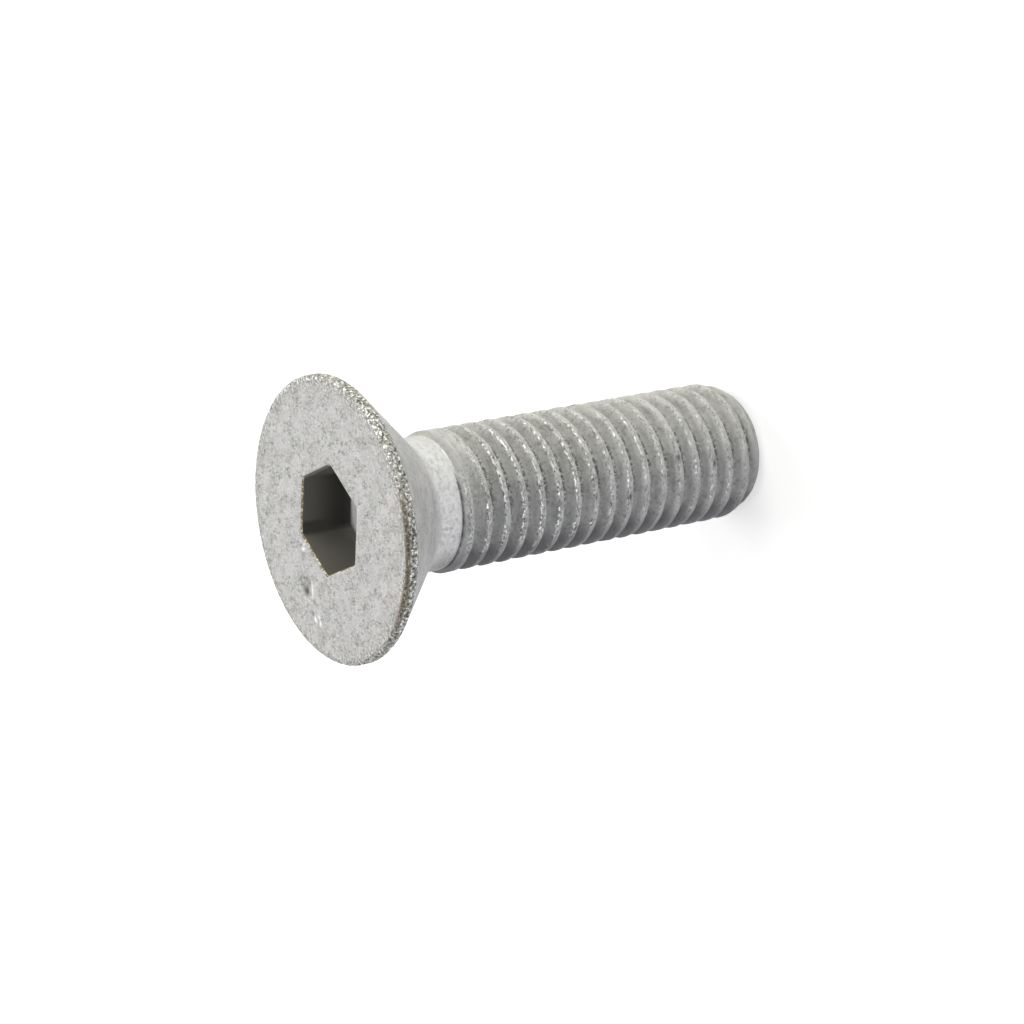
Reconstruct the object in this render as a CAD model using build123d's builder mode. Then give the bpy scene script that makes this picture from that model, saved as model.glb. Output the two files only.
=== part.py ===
from build123d import *
from math import ceil, cos, radians, sin, tan
import os

# Countersunk screw with a hexagon socket and an M12 x 1.75 right-hand thread, one piece of
# hot-dip galvanised steel. Millimetres. The origin is the centre of the head's flat face,
# +Z points out of the socket, and the shank runs down to the flat tip at
# Z = -overall_length. Depths are measured down from the face.

# Head
head_diameter = 23.4
rim_height = 0.8
rim_edge_radius = 0.3
rim_edge_flats = 3
cone_angle = 90.0

# Neck, as thick as the blank that the thread is rolled on
neck_diameter = 11.0
neck_fillet_radius = 1.1
neck_length = 2.15

# Shank: the first crest rises from the neck, and a long chamfer ends the last
overall_length = 40.0
first_crest_rise = 0.65
tip_diameter = 9.6
tip_chamfer_length = 2.25
tip_edge_bevel = 0.2

# Thread groove, in straight facets so that its many turns keep few faces
thread_diameter = 11.7
thread_pitch = 1.75
thread_depth = 1.0
crest_width = 0.3
groove_floor_width = 0.26
groove_start_angle = 31.0
runout_turns = 0.25
facets_per_turn = 30

# Hexagon socket, 8 mm key
hexagon_width = 8.1
hexagon_corner_radius = 0.25
socket_depth = 4.6
mouth_bevel = 0.16
drill_diameter = 7.6
drill_point_angle = 140.0

# Room that the groove's tool and the turning of the shank leave outside the crests
tool_clearance = 0.2

# Worked out from the sizes above
head_radius = head_diameter / 2
neck_radius = neck_diameter / 2
thread_radius = thread_diameter / 2
tip_radius = tip_diameter / 2
cone_end = rim_height + (head_radius - neck_radius) / tan(radians(cone_angle / 2))
neck_end = cone_end + neck_length
drill_point_height = drill_diameter / 2 / tan(radians(drill_point_angle / 2))
flank_slope = (thread_pitch - crest_width - groove_floor_width) / 2 / thread_depth
groove_start = neck_end + first_crest_rise + thread_pitch * (0.5 - runout_turns)
groove_end = overall_length + thread_pitch
groove_facets = ceil((groove_end - groove_start) / thread_pitch * facets_per_turn)
first_crest_slope = first_crest_rise / (thread_radius - neck_radius)
tip_chamfer_slope = tip_chamfer_length / (thread_radius - tip_radius)
turned_radius = thread_radius + tool_clearance


def rim_edge(step):
    """A point on the rounded edge between the head's face and its rim."""
    angle = radians(90 * step / rim_edge_flats)
    across = head_radius - rim_edge_radius * (1 - sin(angle))
    return (across, -rim_edge_radius * (1 - cos(angle)))


def groove_section(facet):
    """Outline of the groove where the given facet begins, on a plane through the axis."""
    turns = facet / facets_per_turn
    angle = radians(groove_start_angle - 360 * turns)
    middle = -(groove_start + thread_pitch * turns)
    cut = (thread_depth + tool_clearance) * min(turns / runout_turns, 1) - tool_clearance
    outer_half = groove_floor_width / 2 + flank_slope * (cut + 2 * tool_clearance)
    outward = (cos(angle), sin(angle), 0)
    plane = Plane(origin=(0, 0, middle), x_dir=outward, z_dir=(sin(angle), -cos(angle), 0))
    with BuildSketch(plane) as section:
        with BuildLine():
            Polyline(
                (thread_radius + 2 * tool_clearance, -outer_half),
                (thread_radius + 2 * tool_clearance, outer_half),
                (thread_radius - cut, groove_floor_width / 2),
                (thread_radius - cut, -groove_floor_width / 2),
                close=True,
            )
        make_face()
    return section.sketch


with BuildPart() as shank:
    # Many-sided bar, turned to a cone at both ends
    with BuildSketch(Plane.XY.offset(-neck_end)):
        RegularPolygon(thread_radius, facets_per_turn, rotation=groove_start_angle)
    extrude(amount=neck_end - overall_length)
    with BuildSketch(Plane.XZ) as turned:
        with BuildLine():
            Polyline(
                (0, -neck_end),
                (neck_radius, -neck_end),
                (turned_radius, -neck_end - first_crest_slope * (turned_radius - neck_radius)),
                (turned_radius, -overall_length + tip_chamfer_slope * (turned_radius - tip_radius)),
                (tip_radius, -overall_length),
                (0, -overall_length),
                close=True,
            )
        make_face()
        chamfer(turned.vertices().sort_by_distance((tip_radius, -overall_length))[0], tip_edge_bevel)
    revolve(axis=Axis.Z, mode=Mode.INTERSECT)

with BuildPart() as groove:
    loft([groove_section(facet) for facet in range(groove_facets + 1)], ruled=True)

with BuildPart() as screw:
    # Head and neck, turned about the axis
    with BuildSketch(Plane.XZ) as blank:
        with BuildLine():
            Polyline(
                (0, 0),
                *[rim_edge(step) for step in range(rim_edge_flats + 1)],
                (head_radius, -rim_height),
                (neck_radius, -cone_end),
                (neck_radius, -neck_end),
                (0, -neck_end),
                close=True,
            )
        make_face()
        fillet(blank.vertices().sort_by_distance((neck_radius, -cone_end))[0], neck_fillet_radius)
    revolve(axis=Axis.Z)
    add(shank.part)

    # Forged hexagon socket, with the shallow cone that its drill leaves in the floor
    with BuildSketch(Plane.XY) as hexagon:
        RegularPolygon(hexagon_width / 2, 6, major_radius=False)
        fillet(hexagon.vertices(), hexagon_corner_radius)
    extrude(amount=-socket_depth, mode=Mode.SUBTRACT)
    with Locations((0, 0, -socket_depth - drill_point_height / 2)):
        Cone(0, drill_diameter / 2, drill_point_height, mode=Mode.SUBTRACT)
    mouth = screw.faces().sort_by(Axis.Z)[-1].inner_wires()[0]
    chamfer(mouth.edges(), mouth_bevel)

    # Thread, cut last
    add(groove.part, mode=Mode.SUBTRACT)

screw.part.label = "screw"
os.makedirs("parts", exist_ok=True)
export_step(screw.part, "parts/screw.step")
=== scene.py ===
"""A hot-dip galvanised countersunk socket screw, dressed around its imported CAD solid.

Sizes are in millimetres until a mesh is written, which is in metres like the frame. The
screw stands on its tip with its axis on Z: the head's flat face is at Z = 0 and depth is
measured down from it. Angles called theta run round the axis from +X.
"""

import math

import bpy
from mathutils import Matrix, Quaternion, Vector, noise


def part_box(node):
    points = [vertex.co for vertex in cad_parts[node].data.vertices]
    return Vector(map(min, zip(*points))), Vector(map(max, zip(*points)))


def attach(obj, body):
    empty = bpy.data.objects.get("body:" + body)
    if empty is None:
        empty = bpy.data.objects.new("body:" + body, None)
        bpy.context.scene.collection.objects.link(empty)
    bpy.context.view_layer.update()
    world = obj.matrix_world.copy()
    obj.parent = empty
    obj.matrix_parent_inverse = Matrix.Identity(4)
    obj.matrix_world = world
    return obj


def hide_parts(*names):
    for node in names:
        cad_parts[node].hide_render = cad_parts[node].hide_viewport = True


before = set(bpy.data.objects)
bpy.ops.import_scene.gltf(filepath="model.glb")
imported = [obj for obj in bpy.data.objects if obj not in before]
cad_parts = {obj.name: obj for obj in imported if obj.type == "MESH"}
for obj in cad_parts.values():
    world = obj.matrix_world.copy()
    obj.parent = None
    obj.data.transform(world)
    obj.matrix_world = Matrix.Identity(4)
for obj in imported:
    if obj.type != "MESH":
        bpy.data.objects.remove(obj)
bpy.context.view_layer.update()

MM = 0.001
TURN = 2 * math.pi
low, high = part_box("screw")

# Head
head_radius = high.x / MM
rim_edge_radius = 0.3
rim_height = 0.8
rim_under_radius = 0.2
face_radius = head_radius - rim_edge_radius
neck_radius = 5.5
neck_fillet_radius = 1.5
cone_end = rim_height + head_radius - neck_radius
neck_end = 9.15

# The cone meets the rim in an arc of 45 degrees: its sine, and its tangents over its radius
under_arc_sine = 0.71
under_arc_tangent = 0.41

# Small step where the first crest meets the neck, with its crevice painted dark as shade
neck_bottom = neck_end - 0.12
step_top = neck_end - 0.05
step_height = 0.15
step_depth = 0.07

# Thread, with the zinc on its crests. Half widths and the phase are shares of the pitch, and
# the swell is a share of the thread's depth.
screw_length = -low.z / MM
thread_radius = 5.85
thread_pitch = 1.75
thread_depth = 1.0
crest_phase = 0.37
crest_half_width = 0.085
root_half_width = 0.08
flank_swell = 0.07
zinc_thickness = 0.07
zinc_radius = thread_radius + zinc_thickness
highest_burr = 0.03
first_crest_end = 9.8
groove_start = first_crest_end + thread_pitch / 4
runout = thread_pitch / 4

# Tip, its chamfer swollen by a share of its height
tip_chamfer_length = 2.25
chamfer_swell = 0.14
tip_radius = 4.8
tip_edge_bevel = 0.2
tip_line_depth = 39.3
tip_line_width = 0.08
tip_ring_radii = (tip_radius - tip_edge_bevel, 4.2, 3.4, 2.4, 1.2)

# Pits in the zinc that are large enough to see one by one: angle, depth and size
pit_hollow = 0.12
pit_length_ratio = 0.45
shank_pits = (
    (-132, 16.95, 0.3),
    (-124, 20.45, 0.28),
    (-114, 18.65, 0.24),
    (-114, 20.4, 0.26),
    (-93, 25.5, 0.36),
    (-88, 22.0, 0.24),
    (-78, 34.25, 0.34),
    (-68, 30.65, 0.32),
    (-40, 13.0, 0.25),
    (-56, 38.2, 0.36),
    (-94, 38.35, 0.46),
)

# Hexagon socket. A rounded corner loses 1 / cos(30 degrees) - 1 of its radius.
hexagon_radius = 4.68
hexagon_corner_radius = 0.25
corner_loss = hexagon_corner_radius * 0.155
mouth_bevel = 0.12
worn_mouth_bevel = 0.4
socket_depth = 4.6
drill_radius = 3.8
drill_point_depth = 1.38
wall_ring_depths = (0.03, 0.15, 0.45, 1.0, 1.7, 2.4, 3.1, 3.7, socket_depth)
drill_ring_shares = (1.0, 0.75, 0.5, 0.25, 0.1)

# Marks on the face: place, length, width, slant in degrees, rise, darkness and lightness. The
# darkness is painted shade in the hollows, and the lightness painted highlight on the lips, with
# uncoated metal at the chips
face_dents = (
    # A blow beside the socket: the hollow, its side painted dark as shade, and its lip painted
    # light as a highlight
    ((-6.55, 2.75), 0.95, 0.6, 22, -0.24, 0.3, 0.0),
    ((-7.05, 3.15), 0.52, 0.36, 35, -0.12, 1.0, 0.0),
    ((-6.45, 3.75), 0.6, 0.16, 40, -0.03, 0.5, 0.0),
    ((-6.6, 2.1), 0.78, 0.23, 12, 0.1, 0.0, 1.0),
    ((-7.5, 1.8), 0.22, 0.3, 0, -0.05, 0.6, 0.0),
    # Scratches nearer the edge
    ((-8.9, 1.45), 0.45, 0.24, 45, 0.06, 0.0, 1.0),
    ((-8.55, 0.95), 0.2, 0.26, 18, 0.04, 0.0, 0.8),
    ((-9.0, 0.72), 0.34, 0.26, 30, 0.06, 0.0, 1.0),
    ((-8.98, 1.1), 0.24, 0.24, 18, -0.1, 0.9, 0.0),
    ((-8.6, 1.85), 0.36, 0.22, 45, -0.06, 0.8, 0.0),
    # Chips at the mouth of the socket
    ((-3.58, 3.58), 0.2, 0.3, 18, 0.05, 0.0, 1.0),
    ((-3.12, 3.55), 0.13, 0.24, 18, 0.02, 0.0, 0.7),
    ((-3.08, 4.05), 0.15, 0.2, 18, 0.02, 0.0, 0.6),
    ((-3.4, 4.1), 0.2, 0.18, 18, -0.05, 0.6, 0.0),
    ((-4.1, 3.65), 0.35, 0.45, 18, -0.03, 0.4, 0.0),
)

# Colours of the zinc and of what is on it, and of painted shade and painted highlights
DULL_ZINC = (0.57, 0.57, 0.555)
PALE_ZINC = (0.71, 0.705, 0.7)
SHANK_ZINC = (0.82, 0.82, 0.79)
NECK_HIGHLIGHT_ZINC = (0.76, 0.765, 0.76)
RIM_ZINC = (0.45, 0.45, 0.4)
TURNED_ZINC = (0.42, 0.425, 0.42)
PATCH_GREY = (0.47, 0.475, 0.46)
FLECK_GREY = (0.25, 0.25, 0.235)
GRAIN_WHITE = (0.85, 0.85, 0.84)
GLINT_WHITE = (0.96, 0.95, 0.9)
BARE_AND_LIT_WHITE = (0.9, 0.9, 0.9)
PIT_GREY = (0.115, 0.11, 0.095)
HOLLOW_GREY = (0.12, 0.115, 0.095)
DIRT_AND_SHADE_GREY = (0.1, 0.098, 0.085)
SIDE_SHADE_GREY = (0.27, 0.265, 0.275)
SOCKET_SHADE_GREY = (0.2, 0.195, 0.168)
SOCKET_SHADOW_BLACK = (0.03, 0.03, 0.028)
DARK_RUST = (0.11, 0.075, 0.045)
PALE_RUST = (0.6, 0.5, 0.34)
DARK_MOUTH = (0.3, 0.24, 0.15)
PALE_MOUTH = (0.95, 0.88, 0.72)

# Texture: the direction of the face's faint streaks, in degrees from +X, and how far the
# noise is drawn out across them or round the screw
streak_angle = 18
across_streaks = (1, 1.6, 1)
flat_burrs = (1.8, 1.8, 0.9)
round_the_axis = (6, 6, 1)
relief_depth = 0.08

# Studio, where the floor's half width is in metres
lamp_distance = 400
lamp_size = 250
camera_azimuth = 23.78
camera_elevation = 33.22
camera_roll = -100.8
camera_distance = 255.5
camera_aim = (-1.84, -0.81, -17.22)
camera_lens = 109.5
floor_half_width = 3.0
floor_glow = 0.6
ambient_light = 0.06

# Mesh density, with the rows of one turn of the thread as shares of the pitch
columns = 252
crest_rows = (-0.13, -0.09, -0.045, 0.0, 0.045, 0.09, 0.13)
flank_rows = (-0.5, -0.44, -0.36, -0.28, -0.2, 0.2, 0.32, 0.44)
thread_rows = sorted([*crest_rows, *flank_rows])
cone_rings = 25
face_rings = 48


def smoothstep(low_edge, high_edge, value):
    """Smooth rise from 0 at the first edge to 1 at the second, or a fall if they are swapped."""
    t = min(max((value - low_edge) / (high_edge - low_edge), 0.0), 1.0)
    return t * t * (3.0 - 2.0 * t)


def grain(theta, depth, radius, scale, seed=0.0):
    """Smooth noise between about -1 and 1 on a place of the screw, scale in bumps per mm."""
    x, y = radius * math.cos(theta), radius * math.sin(theta)
    return noise.noise(Vector((x, y, depth)) * scale + Vector((seed, seed, seed)))


def between(theta, start, end, fade):
    """1 inside an arc of the turn given in degrees, fading to 0 outside it."""
    middle, half = (start + end) / 2, (end - start) / 2
    away = abs((math.degrees(theta) - middle + 180) % 360 - 180)
    return 1.0 - smoothstep(half, half + fade, away)


def thread_turns(depth, theta):
    """Whole numbers on the crests and halves in the middle of the grooves."""
    return depth / thread_pitch - crest_phase + theta / TURN


def thread_profile(phase, crest_half):
    """Share of the groove's depth, from the crest at 0 to the root at half a pitch.

    The zinc swells the flank on the head's side of the crest.
    """
    flank = (abs(phase) - crest_half) / (0.5 - root_half_width - crest_half)
    flank = min(max(flank, 0.0), 1.0)
    swell = flank_swell * math.sin(math.pi * flank) if phase < 0 else 0.0
    return flank - swell


def crest_roughness(depth, theta, crest):
    """Radial burrs and pits that the zinc leaves on the crests, in millimetres."""
    burrs = 0.035 * grain(theta, depth, thread_radius, 2.6)
    burrs += 0.03 * grain(theta, depth, thread_radius, 6.0, 7.0)
    pits = max(grain(theta, depth, thread_radius, 3.1, 31.0) - 0.3, 0.0)
    return crest * (burrs - 0.18 * pits)


def before_first_crest(depth):
    """1 where the blank still rises from the neck, and 0 from the first whole crest on."""
    return smoothstep(first_crest_end + 0.1, first_crest_end - 0.1, depth)


def crest_share(depth, theta, phase):
    """How rough and bright the zinc is: most on the crests and near the head, and on one side as a
    painted highlight.
    """
    band = first_band(theta)
    crest = 0.3 * smoothstep(-0.36, -0.2, phase) + 0.7 * smoothstep(-0.18, -0.14, phase)
    crest *= smoothstep(0.1, 0.05, phase)
    crest *= 1.0 - 0.5 * band * smoothstep(0.6, 0.3, depth - neck_end)
    crest *= 1.0 - before_first_crest(depth) * (1.0 - band)
    near_head = smoothstep(30.0, 16.0, depth)
    return crest * (0.65 + 0.35 * near_head) * (0.6 + 0.4 * glinting_side(theta))


def groove_depth(depth, theta):
    """Depth of the thread's groove, which runs out towards the neck."""
    turns = thread_turns(depth, theta)
    groove_middle = (math.floor(turns) + 0.5 + crest_phase - theta / TURN) * thread_pitch
    deepening = smoothstep(groove_start, groove_start + runout, groove_middle)
    crest_half = crest_half_width + 0.03 * grain(theta, depth, thread_radius, 1.1, 41.0)
    return thread_depth * thread_profile(turns - round(turns), crest_half) * deepening


def chamfer_radius(depth, theta):
    """The tip's chamfer, a little uneven and swollen by the zinc."""
    share = min(max((screw_length - depth) / tip_chamfer_length, 0.0), 1.0)
    share += chamfer_swell * math.sin(math.pi * share)
    unevenness = 0.04 * grain(theta, depth, tip_radius, 1.3, 3.0) - 0.02
    return tip_radius + (thread_radius - tip_radius) * share + unevenness


def shank_point(depth, theta):
    """Radius and masks of the thread and tip at a depth below the head's face."""
    turns = thread_turns(depth, theta)
    phase = turns - round(turns)
    band = first_band(theta)
    groove = groove_depth(depth, theta)
    crest = crest_share(depth, theta, phase)
    # Grime and painted shade in the thread's creases, darkest towards the key lamp.
    dirt_and_shade = crevice_dirt_and_shade(phase, groove) * smoothstep(0.3, 2.0, depth - first_crest_end)
    dirt_and_shade *= 0.42 + 0.55 * crease_shadow_side(theta)
    pit = shank_pit(theta, depth)
    rise = max(smoothstep(neck_end, first_crest_end, depth), band * 0.5)
    radius = neck_radius + (zinc_radius - neck_radius) * rise - groove
    radius += crest_roughness(depth, theta, crest) - pit_hollow * pit
    chamfer = chamfer_radius(depth, theta)
    if chamfer < radius:
        crest, dirt_and_shade = 0.5 * crest, tip_line(depth, dirt_and_shade)
    masks = {
        "crest": crest,
        # The neck's painted highlight, on one side.
        "neck": smoothstep(neck_end + 0.2, neck_end, depth) * (1.0 - band) * bare_side(theta),
        "dirt_and_shade": dirt_and_shade,
        "pit": pit,
        "shank": 1.0,
        # Painted shade along one side, and on the rise before the first crest.
        "side_shade": max(shaded_side(theta), 0.35 * before_first_crest(depth) * (1.0 - band)),
    }
    return min(radius, chamfer, zinc_radius + highest_burr), masks


def crevice_dirt_and_shade(phase, groove):
    """Darkening just behind each crest and in the root of the groove: grime, and painted shade
    where the crests shade the groove.
    """
    behind = smoothstep(0.0, 0.07, phase) if phase > 0 else 0.0
    root = smoothstep(-0.36, -0.46, phase) if phase < 0 else 0.0
    return max(behind * smoothstep(0.0, 0.02, groove), root * smoothstep(0.1, 0.5, groove))


def tip_line(depth, dirt_and_shade):
    """The chamfer is clean but for a faint dark line round the end."""
    line = math.exp(-(((depth - tip_line_depth) / tip_line_width) ** 2))
    return max(0.4 * dirt_and_shade, 0.35 * line)


def shank_pit(theta, depth):
    """1 in the middle of the pits in the zinc, falling to 0 past their edges."""
    deepest = 0.0
    for angle, pit_depth, size in shank_pits:
        turned = (math.degrees(theta) - angle + 180) % 360 - 180
        around = thread_radius * math.radians(turned)
        away = around**2 + ((depth - pit_depth) / pit_length_ratio) ** 2
        deepest = max(deepest, math.exp(-away / size**2))
    return deepest


def shaded_side(theta):
    """Painted shade: the side that the lamps leave in shade is painted darker."""
    return between(theta, -200, -134, 26)


def crease_shadow_side(theta):
    """Painted shadow: the creases behind the crests are painted darkest on the side towards the key
    lamp.
    """
    return between(theta, -60, 60, 50)


def glinting_side(theta):
    """Painted highlight: the crests glint most on the side of the shank that faces the camera."""
    return between(theta, -105, -35, 40)


def bare_side(theta):
    """The side of the neck that is painted lighter, as a painted highlight, and made glossier."""
    return between(theta, -100, -10, 45)


def first_band(theta):
    """Where the first, unfinished crest ends on the neck in a step and not in a slope."""
    return between(theta, -140, -62, 25)


def hexagon(theta, corner_reach):
    """Distance from the axis to a hexagon with a corner on X and slightly rounded corners."""
    sector = math.pi / 3
    side = theta % sector - sector / 2
    plain = corner_reach * math.cos(sector / 2) / math.cos(side)
    corner = abs(side) / (sector / 2)
    return plain - corner_loss * smoothstep(0.8, 1.0, corner)


class Shell:
    """Vertices and faces gathered ring by ring, with paint masks for the material."""

    mask_names = (
        "crest", "face", "rim", "rust", "socket", "bevel", "neck", "pit", "dirt_and_shade", "bare",
        "shank", "side_shade", "deep_shade",
    )

    def __init__(self):
        self.points = []
        self.faces = []
        self.masks = {name: [] for name in self.mask_names}

    def vertex(self, radius, theta, depth, **masks):
        """Index of a new vertex, whose masks are 0 where they aren't given."""
        self.points.append((radius * math.cos(theta), radius * math.sin(theta), -depth))
        for name, values in self.masks.items():
            values.append(masks.get(name, 0.0))
        return len(self.points) - 1

    def ring(self, place):
        """One vertex a column; place gives radius, depth and masks for an angle."""
        made = []
        for column in range(columns):
            theta = column * TURN / columns
            radius, depth, masks = place(theta)
            made.append(self.vertex(radius, theta, depth, **masks))
        return made

    def face(self, *corners):
        """A face from its corners, some of which may be the same vertex."""
        kept = []
        for corner in corners:
            if corner not in kept:
                kept.append(corner)
        if len(kept) > 2:
            self.faces.append(kept)

    def join(self, upper, lower):
        """A band of quads between two rings, facing outwards when upper is nearer the head."""
        for i in range(columns):
            j = (i + 1) % columns
            self.face(upper[i], lower[i], lower[j], upper[j])

    def fan(self, ring, centre):
        """Triangles from a ring to a point in its middle."""
        for i in range(columns):
            self.face(ring[i], centre, ring[(i + 1) % columns])

    def mesh(self, name):
        """A smooth-shaded mesh in metres, with one float attribute for each mask."""
        mesh = bpy.data.meshes.new(name)
        mesh.from_pydata([Vector(p) * MM for p in self.points], [], self.faces)
        for mask, values in self.masks.items():
            mesh.attributes.new(mask, "FLOAT", "POINT").data.foreach_set("value", values)
        mesh.polygons.foreach_set("use_smooth", [True] * len(mesh.polygons))
        mesh.validate()
        return mesh


def add_thread(shell, top, bottom, top_depth):
    """Thread and tip chamfer, in rows that follow the helix, between two plain rings."""
    step = thread_pitch / len(thread_rows)
    end_depth = screw_length - tip_edge_bevel
    first_turn = math.floor(top_depth / thread_pitch) - 2
    last_turn = math.ceil(screw_length / thread_pitch) + 3
    rows = [turn + row for turn in range(first_turn, last_turn) for row in thread_rows]
    made = {}

    def at(column, row):
        if column == columns:
            column, row = 0, row - len(thread_rows)
        if row < 0:
            return top[column]
        if (column, row) in made:
            return made[column, row]
        theta = column * TURN / columns
        depth = (rows[row] + crest_phase - theta / TURN) * thread_pitch
        if depth < top_depth + 0.3 * step:
            found = top[column]
        elif depth > end_depth - 0.3 * step:
            found = bottom[column]
        else:
            radius, masks = shank_point(depth, theta)
            found = shell.vertex(radius, theta, depth, **masks)
        made[column, row] = found
        return found

    for column in range(columns):
        for row in range(len(rows) - 1):
            upper, lower = at(column, row), at(column, row + 1)
            shell.face(upper, lower, at(column + 1, row + 1), at(column + 1, row))


def add_tip(shell, edge):
    """The small bevel round the tip and its flat end."""
    below = edge
    for radius in tip_ring_radii:
        ring = shell.ring(lambda theta: (radius, screw_length, {}))
        shell.join(below, ring)
        below = ring
    shell.fan(below, shell.vertex(0, 0, screw_length))


def step_ring(shell, depth, lift, dirt_and_shade):
    """A ring of the small step where the first crest meets the neck, its crevice painted dark as
    shade.
    """

    def place(theta):
        band = first_band(theta)
        ragged = 1.0 + 0.6 * grain(theta, depth, neck_radius, 3.0)
        radius = neck_radius + lift * band * ragged
        return radius, depth, {"pit": dirt_and_shade * band * ragged, "neck": (1.0 - band) * bare_side(theta)}

    return shell.ring(place)


def add_step(shell):
    """Rings from the neck down over the step; returns the first and the last of them."""
    first = step_ring(shell, step_top, 0.0, 0.0)
    above = first
    crevice = ((-0.01, -0.04, 0.6), (0.03, 0.02, 0.65))
    for drop, lift, dirt_and_shade in (*crevice, (step_depth, step_height, 0.2)):
        ring = step_ring(shell, neck_end + drop, lift, dirt_and_shade)
        shell.join(above, ring)
        above = ring
    return first, above


def neck_profile():
    """(radius, depth) points of the neck, its fillet and the cone, from the neck up to the rim."""
    tangent = neck_fillet_radius * math.tan(math.radians(22.5))
    centre_radius, centre_depth = neck_radius + neck_fillet_radius, cone_end + tangent
    straight = neck_bottom - centre_depth
    points = [(neck_radius, neck_bottom - straight * t) for t in (0.0, 0.33, 0.66)]
    for angle in range(180, 226, 5):
        a = math.radians(angle)
        points.append(
            (centre_radius + neck_fillet_radius * math.cos(a),
             centre_depth + neck_fillet_radius * math.sin(a))
        )
    cone_start = points[-1]
    under = rim_under_radius * under_arc_sine
    cone_top = (head_radius - under, rim_height + under)
    for step in range(1, cone_rings):
        t = step / cone_rings
        points.append(tuple(a + (b - a) * t for a, b in zip(cone_start, cone_top)))
    return points


def add_cone(shell, neck_ring):
    """Neck, fillet and cone, nearly smooth."""
    above = neck_ring
    for radius, depth in neck_profile():
        neck = smoothstep(neck_radius + 1.2, neck_radius, radius)

        def place(theta):
            wave = 0.012 * grain(theta, depth, radius, 0.7, 5.0)
            return radius + wave, depth, {"neck": neck * bare_side(theta)}

        ring = shell.ring(place)
        shell.join(ring, above)
        above = ring
    return above


def rim_profile():
    """(radius, depth, rust) round the rim, from the cone's end up to the face's edge."""
    under, edge = rim_under_radius, rim_edge_radius
    points = []
    for angle in (45, 22, 0):
        a = math.radians(angle)
        depth = rim_height - under * under_arc_tangent + under * math.sin(a)
        points.append((head_radius - under * (1 - math.cos(a)), depth, 0.0))
    points.append((head_radius, rim_height - 0.28, 0.1))
    for angle, rust in ((0, 0.0), (-18, 0.4), (-36, 0.9), (-54, 1.0), (-72, 1.0), (-90, 0.9)):
        a = math.radians(angle)
        points.append((head_radius - edge * (1 - math.cos(a)), edge + edge * math.sin(a), rust))
    return points


def rusty_side(theta):
    """The brown line runs along a short stretch of the rim, away from the key lamp."""
    return 0.05 + 0.95 * between(theta, -108, -72, 20)


def rough_side(theta):
    """The rim is smoother on the side that faces away from the camera."""
    return 0.55 + 0.45 * between(theta, -150, 40, 40)


def add_rim(shell, cone_ring):
    """The upright rim and its rounded edge, uneven under the zinc."""
    above = cone_ring
    for radius, depth, rust in rim_profile():
        rough = 1.0 if depth > 0 else 0.4

        def place(theta):
            lump = 0.03 * grain(theta, depth, radius, 1.5, 11.0)
            lump += 0.035 * grain(theta, depth, radius, 3.6)
            sink = 0.03 * (1.0 + grain(theta, depth, radius, 2.5, 17.0))
            rim = (1.0 if depth > 0.02 else 0.8) * rough_side(theta)
            masks = {"rim": rim, "rust": rust * rusty_side(theta)}
            return radius - rough * (0.035 - lump), depth + rough * sink, masks

        ring = shell.ring(place)
        shell.join(ring, above)
        above = ring
    return above


def spot(x, y, centre, length, width, slant):
    """1 in the middle of a small oval spot on the face, falling to 0 past its edge."""
    dx, dy = x - centre[0], y - centre[1]
    c, s = math.cos(math.radians(slant)), math.sin(math.radians(slant))
    along, across = (dx * c + dy * s) / length, (dy * c - dx * s) / width
    return math.exp(-1.6 * (along**2 + across**2) ** 1.5)


def face_marks(x, y):
    """Height of the dents and chips on the face, and their darkness and lightness: painted shade in
    the hollows and painted highlight on the lips.
    """
    height, dark, bare = 0.0, 0.0, 0.0
    for centre, length, width, slant, rise, darkness, bareness in face_dents:
        near = spot(x, y, centre, length, width, slant)
        height += rise * near
        dark = max(dark, darkness * near)
        bare = max(bare, bareness * near)
    return height, dark, bare


def add_face(shell, edge_ring):
    """The flat face with its dents, from the rim's edge in to the mouth of the socket."""
    above = edge_ring
    for step in range(1, face_rings + 1):
        t = step / face_rings

        def place(theta):
            radius = (1 - t) * face_radius + t * hexagon(theta, hexagon_radius + mouth_bevel)
            height, dark, bare = face_marks(radius * math.cos(theta), radius * math.sin(theta))
            wave = 0.01 + 0.01 * grain(theta, 0.0, radius, 0.45, 23.0)
            edge = smoothstep(0.12 + 0.1 * between(theta, -150, 20, 30), 0.0, t)
            rust = smoothstep(0.05, 0.0, t) * rusty_side(theta)
            masks = {"face": 1.0, "pit": dark, "bare": bare, "rim": edge * 0.6, "rust": rust}
            return radius, wave - height * (t < 1), masks

        ring = shell.ring(place)
        shell.join(ring, above)
        above = ring
    return above


def mouth_depth(theta):
    """The bevel at the socket's mouth, worn deeper along one side."""
    return mouth_bevel + worn_mouth_bevel * between(theta, 12, 50, 10)


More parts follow.
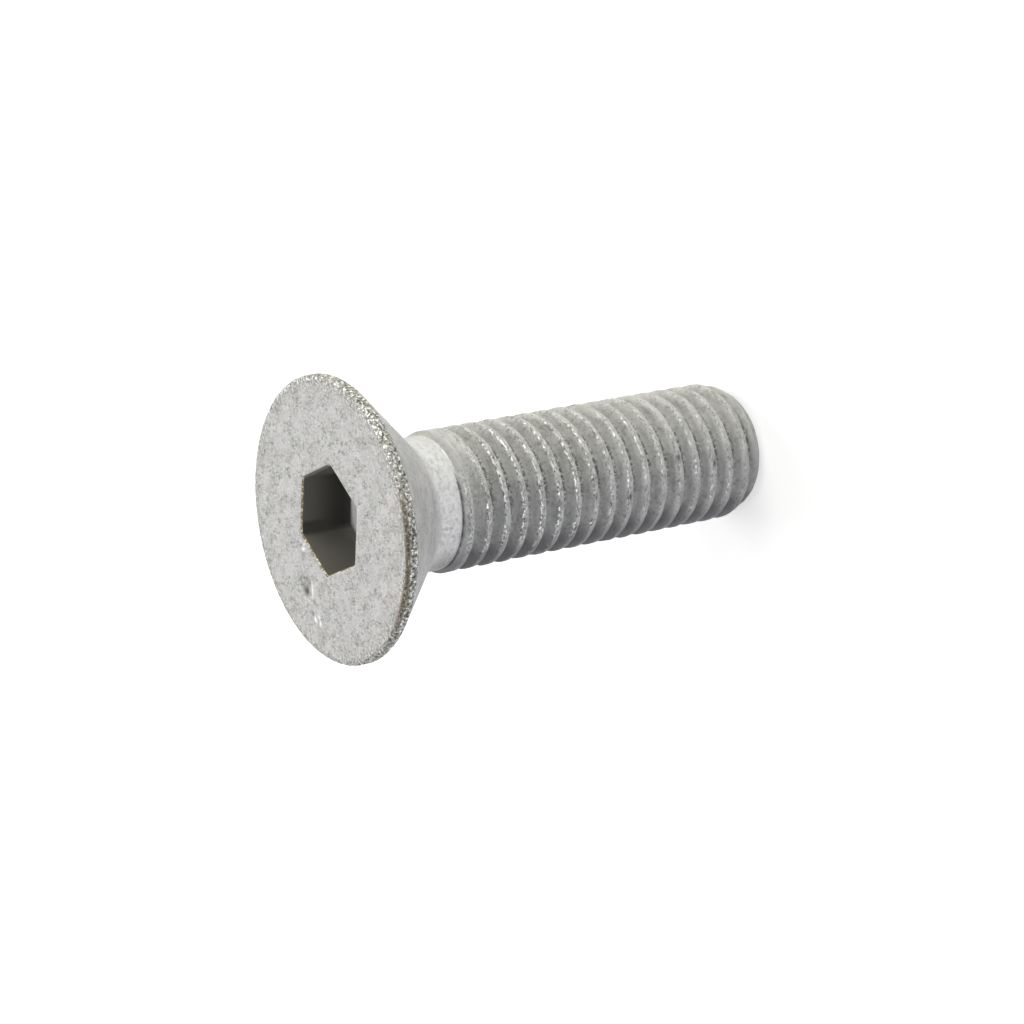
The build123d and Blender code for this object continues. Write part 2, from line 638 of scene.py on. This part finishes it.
def add_socket(shell, mouth_ring):
    """Bevelled mouth, six walls, and the floor with its drill point."""
    above = mouth_ring
    for share in (0.1, 0.9, 1.0):

        def bevel(theta):
            radius = hexagon(theta, hexagon_radius + mouth_bevel * (1 - share))
            worn = between(theta, 5, 57, 4)
            # The worn side of the bevel takes part of the socket's painted shade.
            masks = {"bevel": 1.0 - worn, "socket": 0.55 * worn}
            return radius, mouth_depth(theta) * share + 0.01, masks

        ring = shell.ring(bevel)
        shell.join(ring, above)
        above = ring
    for below_bevel in wall_ring_depths:

        def wall(theta):
            depth = min(mouth_depth(theta) + below_bevel, socket_depth)
            far_wall = between(theta, 62, 118, 4) * smoothstep(0.1, 4.0, depth)
            corner = between(theta, 112, 120, 6)
            # Painted shade on the walls, nearly black as painted shadow further down the far wall
            # and in one corner.
            masks = {"socket": 1.0, "deep_shade": max(0.9 * far_wall, 0.65 * corner)}
            return hexagon(theta, hexagon_radius), depth, masks

        ring = shell.ring(wall)
        shell.join(ring, above)
        above = ring
    for share in drill_ring_shares:
        radius, depth = drill_radius * share, socket_depth + drill_point_depth * (1 - share)
        # The floor is painted lighter, as painted light where the lamps reach it.
        ring = shell.ring(lambda theta: (radius, depth, {"bare": 0.5}))
        shell.join(ring, above)
        above = ring
    shell.fan(above, shell.vertex(0, 0, socket_depth + drill_point_depth, bare=0.5))


def build_screw():
    """The whole screw as one closed mesh, built out from the neck to both ends."""
    shell = Shell()
    above_step, below_step = add_step(shell)
    tip_end = screw_length - tip_edge_bevel
    tip_edge = shell.ring(lambda theta: (tip_radius + zinc_thickness, tip_end, {}))
    add_thread(shell, below_step, tip_edge, neck_end + step_depth)
    add_tip(shell, tip_edge)
    mouth = add_face(shell, add_rim(shell, add_cone(shell, above_step)))
    add_socket(shell, mouth)
    screw = bpy.data.objects.new("galvanised_screw", shell.mesh("galvanised_screw"))
    bpy.context.scene.collection.objects.link(screw)
    return screw


class Paint:
    """Short names for shader nodes."""

    def __init__(self, material):
        self.nodes = material.node_tree.nodes
        self.links = material.node_tree.links
        coordinates = self.nodes.new("ShaderNodeTexCoord")
        self.place = coordinates.outputs["Object"]

    def mask(self, name):
        """A mask that the mesh carries."""
        node = self.nodes.new("ShaderNodeAttribute")
        node.attribute_name = name
        return node.outputs["Fac"]

    def noise(self, scale, detail, rough, stretch=(1, 1, 1)):
        """Noise of some bumps per millimetre, stretched along and across the face's streaks."""
        mapping = self.nodes.new("ShaderNodeMapping")
        mapping.vector_type = "TEXTURE"
        mapping.inputs["Scale"].default_value = [MM / scale * factor for factor in stretch]
        mapping.inputs["Rotation"].default_value = (0, 0, math.radians(streak_angle))
        self.links.new(self.place, mapping.inputs["Vector"])
        node = self.nodes.new("ShaderNodeTexNoise")
        node.inputs["Scale"].default_value = 1.0
        node.inputs["Detail"].default_value = detail
        node.inputs["Roughness"].default_value = rough
        self.links.new(mapping.outputs[0], node.inputs["Vector"])
        return node.outputs["Fac"]

    def ramp(self, value, from_low, from_high, to_low=0.0, to_high=1.0):
        """One range of a value carried over to another, and held at its ends."""
        node = self.nodes.new("ShaderNodeMapRange")
        names = ("From Min", "From Max", "To Min", "To Max")
        for name, number in zip(names, (from_low, from_high, to_low, to_high)):
            node.inputs[name].default_value = number
        self.links.new(value, node.inputs["Value"])
        return node.outputs[0]

    def math(self, operation, a, b):
        node = self.nodes.new("ShaderNodeMath")
        node.operation = operation
        for socket, value in zip(node.inputs, (a, b)):
            if isinstance(value, (int, float)):
                socket.default_value = value
            else:
                self.links.new(value, socket)
        return node.outputs[0]

    def times(self, a, b):
        return self.math("MULTIPLY", a, b)

    def most(self, a, b):
        return self.math("MAXIMUM", a, b)

    def mix(self, factor, a, b):
        """Colour a where the factor is 0 and colour b where it is 1."""
        node = self.nodes.new("ShaderNodeMix")
        node.data_type = "RGBA"
        self.links.new(factor, node.inputs["Factor"])
        for socket, colour in ((node.inputs["A"], a), (node.inputs["B"], b)):
            if isinstance(colour, tuple):
                socket.default_value = (*colour, 1)
            else:
                self.links.new(colour, socket)
        return node.outputs["Result"]


class ZincPaint(Paint):
    """The zinc's colour, gloss and relief, each built on the same masks and noises."""

    def __init__(self, material):
        super().__init__(material)
        self.on = {name: self.mask(name) for name in Shell.mask_names}
        self.flecks = self.noise(3.2, 4.0, 0.75, stretch=across_streaks)
        self.grit = self.noise(4.2, 3.0, 0.7)
        self.burrs = self.noise(6.0, 3.0, 0.72, stretch=flat_burrs)
        # Painted highlight on one side of the neck, which is glossier there too.
        self.neck_gloss_and_highlight = self.times(
            self.on["neck"], self.ramp(self.flecks, 0.42, 0.62, 0.9, 0.4)
        )

    def clouds(self):
        """Cloudy zinc, lighter on the shank, with faint marks of turning off the face."""
        clouds = self.noise(0.45, 3.0, 0.6)
        colour = self.mix(self.ramp(clouds, 0.35, 0.65), DULL_ZINC, PALE_ZINC)
        colour = self.mix(self.times(self.on["shank"], 0.75), colour, SHANK_ZINC)
        marks = self.noise(3.0, 4.0, 0.65, stretch=round_the_axis)
        off_face = self.ramp(self.on["face"], 0.0, 1.0, 1.0, 0.0)
        turned = self.times(self.ramp(marks, 0.48, 0.68, 0.0, 0.5), off_face)
        return self.mix(turned, colour, TURNED_ZINC)

    def speckle(self, colour):
        """Darker flecks in patches and light grains, strongest on the head's face."""
        strength = self.ramp(self.on["face"], 0.0, 1.0, 0.5, 1.0)
        patches = self.noise(0.9, 4.0, 0.7, stretch=(1, 1.5, 1))
        patched = self.times(strength, self.ramp(patches, 0.48, 0.62, 0.0, 0.75))
        colour = self.mix(patched, colour, PATCH_GREY)
        spotty = self.times(strength, self.ramp(patches, 0.43, 0.56, 0.25, 1.0))
        flecked = self.times(spotty, self.ramp(self.flecks, 0.49, 0.62, 0.0, 0.9))
        colour = self.mix(flecked, colour, FLECK_GREY)
        grains = self.noise(5.5, 2.0, 0.6, stretch=across_streaks)
        bright = self.times(strength, self.ramp(grains, 0.53, 0.66, 0.0, 0.65))
        colour = self.mix(bright, colour, GRAIN_WHITE)
        # Then the neck's painted highlight.
        return self.mix(self.neck_gloss_and_highlight, colour, NECK_HIGHLIGHT_ZINC)

    def glints(self):
        """Uncoated bright metal on the crests and the rim; on the crests also a painted highlight,
        strongest on one side.
        """
        exposed = self.ramp(self.on["crest"], 0.3, 1.0, -0.1, 0.01)
        exposed = self.math("ADD", self.burrs, exposed)
        on_crest = self.times(
            self.ramp(self.on["crest"], 0.0, 0.7), self.ramp(exposed, 0.5, 0.56)
        )
        return self.most(self.times(self.on["rim"], self.ramp(self.grit, 0.54, 0.62)), on_crest)

    def roughen(self, colour, glints):
        """Dark pits between the glints of the crests and of the greener rim."""
        colour = self.mix(self.times(self.on["rim"], 0.6), colour, RIM_ZINC)
        rim_pits = self.times(self.on["rim"], self.ramp(self.grit, 0.48, 0.4))
        crest_pits = self.times(self.on["crest"], self.ramp(self.burrs, 0.48, 0.41, 0.0, 0.95))
        colour = self.mix(self.most(rim_pits, crest_pits), colour, PIT_GREY)
        return self.mix(glints, colour, GLINT_WHITE)

    def rust(self):
        """The broken rusty line round the edge of the head."""
        return self.times(self.on["rust"], self.ramp(self.grit, 0.42, 0.5, 0.3, 1.0))

    def dirt_and_shade(self):
        """Broken grime and painted shade in the creases of the thread."""
        return self.times(self.on["dirt_and_shade"], self.ramp(self.grit, 0.56, 0.46, 0.15, 1.0))

    def stain(self, colour, rust, dirt_and_shade):
        """Rust; painted shade in the socket; grime and painted shade in the creases; darker pits
        and painted shade in the dents; painted shade along one side; uncoated chips and painted
        highlights; and the socket's mouth.
        """
        brown = self.mix(self.ramp(self.burrs, 0.52, 0.62), DARK_RUST, PALE_RUST)
        colour = self.mix(rust, colour, brown)
        # Painted shade in the socket, nearly black where its shadow is darkest.
        colour = self.mix(self.on["socket"], colour, SOCKET_SHADE_GREY)
        colour = self.mix(self.on["deep_shade"], colour, SOCKET_SHADOW_BLACK)
        # Grime and painted shade in the creases.
        colour = self.mix(dirt_and_shade, colour, DIRT_AND_SHADE_GREY)
        # Darker pits on the shank, and painted shade in the face's dents and the step's crevice.
        colour = self.mix(self.on["pit"], colour, HOLLOW_GREY)
        # Painted shade along one side of the shank.
        colour = self.mix(self.times(self.on["side_shade"], 0.75), colour, SIDE_SHADE_GREY)
        # Uncoated chips and painted highlights on the face's marks, and painted light on the
        # socket's floor.
        colour = self.mix(self.on["bare"], colour, BARE_AND_LIT_WHITE)
        # The mouth's bevel: a brown line with pale specks, the specks a painted highlight.
        mouth = self.mix(self.ramp(self.grit, 0.5, 0.58), DARK_MOUTH, PALE_MOUTH)
        return self.mix(self.on["bevel"], colour, mouth)

    def shine(self, glints):
        """How metallic and glossy the zinc is: the glints, then the neck, then the uncoated chips
        and the painted highlights.
        """
        shine = self.most(self.times(glints, 0.85), self.times(self.neck_gloss_and_highlight, 0.65))
        return self.most(shine, self.times(self.on["bare"], 0.5))

    def relief(self):
        """Bump of the crests and rim, and fainter of the face."""
        rough = self.most(self.on["crest"], self.on["rim"])
        height = self.times(self.grit, self.ramp(rough, 0.0, 1.0, 0.1, 1.0))
        on_face = self.ramp(self.on["face"], 0.0, 1.0, 0.05, 0.5)
        height = self.math("ADD", height, self.times(self.flecks, on_face))
        bump = self.nodes.new("ShaderNodeBump")
        bump.inputs["Strength"].default_value = 0.7
        bump.inputs["Distance"].default_value = relief_depth * MM
        self.links.new(height, bump.inputs["Height"])
        return bump.outputs[0]


def zinc_material():
    """Matt light grey zinc: cloudy, specked, rough and pitted on the crests and the rim."""
    material = bpy.data.materials.new("zinc_coat")
    material.use_nodes = True
    paint = ZincPaint(material)
    glints, rust, dirt_and_shade = paint.glints(), paint.rust(), paint.dirt_and_shade()
    colour = paint.roughen(paint.speckle(paint.clouds()), glints)
    colour = paint.stain(colour, rust, dirt_and_shade)
    shine = paint.shine(glints)
    crust = paint.most(paint.most(rust, paint.on["socket"]), dirt_and_shade)
    metal = paint.times(paint.most(shine, 0.08), paint.math("SUBTRACT", 1.0, crust))

    shader = material.node_tree.nodes["Principled BSDF"]
    paint.links.new(colour, shader.inputs["Base Color"])
    paint.links.new(metal, shader.inputs["Metallic"])
    paint.links.new(paint.ramp(shine, 0.0, 0.85, 0.6, 0.3), shader.inputs["Roughness"])
    paint.links.new(paint.relief(), shader.inputs["Normal"])
    shader.inputs["Specular IOR Level"].default_value = 0.2
    return material


def direction(azimuth, elevation):
    """Unit vector from the screw towards a lamp or the camera, from angles in degrees."""
    a, e = math.radians(azimuth), math.radians(elevation)
    return Vector((math.sin(a) * math.cos(e), -math.cos(a) * math.cos(e), math.sin(e)))


def area_light(name, azimuth, elevation, watts, colour):
    """A soft square lamp that faces the middle of the screw."""
    data = bpy.data.lights.new(name, "AREA")
    data.size = lamp_size * MM
    data.energy = watts
    data.color = colour
    lamp = bpy.data.objects.new(name, data)
    back = direction(azimuth, elevation)
    lamp.location = Vector((0, 0, low.z / 2)) + back * lamp_distance * MM
    lamp.rotation_mode = "QUATERNION"
    lamp.rotation_quaternion = (-back).to_track_quat("-Z", "Y")
    bpy.context.scene.collection.objects.link(lamp)


def add_camera():
    """The photograph's view, rolled so that the standing screw seems to lie on its side."""
    data = bpy.data.cameras.new("camera")
    data.sensor_width = 36.0
    data.lens = camera_lens
    data.clip_start = 0.01
    data.clip_end = 20.0
    camera = bpy.data.objects.new("camera", data)
    back = direction(camera_azimuth, camera_elevation)
    camera.location = (Vector(camera_aim) + back * camera_distance) * MM
    camera.rotation_mode = "QUATERNION"
    roll = Quaternion((0, 0, 1), math.radians(camera_roll))
    camera.rotation_quaternion = (-back).to_track_quat("-Z", "Y") @ roll
    bpy.context.scene.collection.objects.link(camera)
    bpy.context.scene.camera = camera


def seen_directly(nodes, links):
    """1 for rays from the camera and for mirror and see-through rays, which show the backdrop."""
    path = nodes.new("ShaderNodeLightPath")
    flag = path.outputs["Is Camera Ray"]
    for name in ("Is Glossy Ray", "Is Transmission Ray"):
        either = nodes.new("ShaderNodeMath")
        either.operation = "MAXIMUM"
        links.new(flag, either.inputs[0])
        links.new(path.outputs[name], either.inputs[1])
        flag = either.outputs[0]
    return flag


def add_floor():
    """A pale floor that glows white where it is seen and keeps the screw's shadow."""
    half, z = floor_half_width, low.z
    corners = [(-half, -half, z), (half, -half, z), (half, half, z), (-half, half, z)]
    mesh = bpy.data.meshes.new("floor")
    mesh.from_pydata(corners, [], [(0, 1, 2, 3)])
    floor = bpy.data.objects.new("floor", mesh)
    bpy.context.scene.collection.objects.link(floor)
    material = bpy.data.materials.new("floor")
    material.use_nodes = True
    nodes, links = material.node_tree.nodes, material.node_tree.links
    shader = nodes["Principled BSDF"]
    shader.inputs["Base Color"].default_value = (0.8, 0.8, 0.8, 1)
    shader.inputs["Roughness"].default_value = 0.9
    shader.inputs["Specular IOR Level"].default_value = 0.0
    shader.inputs["Emission Color"].default_value = (1, 1, 1, 1)
    glow = nodes.new("ShaderNodeMath")
    glow.operation = "MULTIPLY"
    glow.inputs[1].default_value = floor_glow
    links.new(seen_directly(nodes, links), glow.inputs[0])
    links.new(glow.outputs[0], shader.inputs["Emission Strength"])
    mesh.materials.append(material)


def light_world(ambient, tint):
    """White where it is seen, and a weak tinted light on everything else."""
    world = bpy.data.worlds.new("studio")
    bpy.context.scene.world = world
    world.use_nodes = True
    nodes, links = world.node_tree.nodes, world.node_tree.links
    colour = nodes.new("ShaderNodeMix")
    colour.data_type = "RGBA"
    colour.inputs["A"].default_value = [ambient * part for part in (*tint, 1)]
    colour.inputs["B"].default_value = (1, 1, 1, 1)
    links.new(seen_directly(nodes, links), colour.inputs["Factor"])
    links.new(colour.outputs["Result"], nodes["Background"].inputs["Color"])


screw = build_screw()
screw.data.materials.append(zinc_material())
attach(screw, "root")
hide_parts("screw")

add_floor()
add_camera()
light_world(ambient_light, (0.86, 0.9, 1.0))
area_light("key", 100, 14, 0.82, (1, 0.985, 0.87))
area_light("back", 175, 45, 0.56, (1, 1, 0.99))
area_light("overhead", 24, 85, 0.69, (1, 0.98, 0.98))
area_light("fill", -2, 8, 0.34, (0.86, 0.88, 1))
bpy.context.scene.view_settings.view_transform = "Standard"
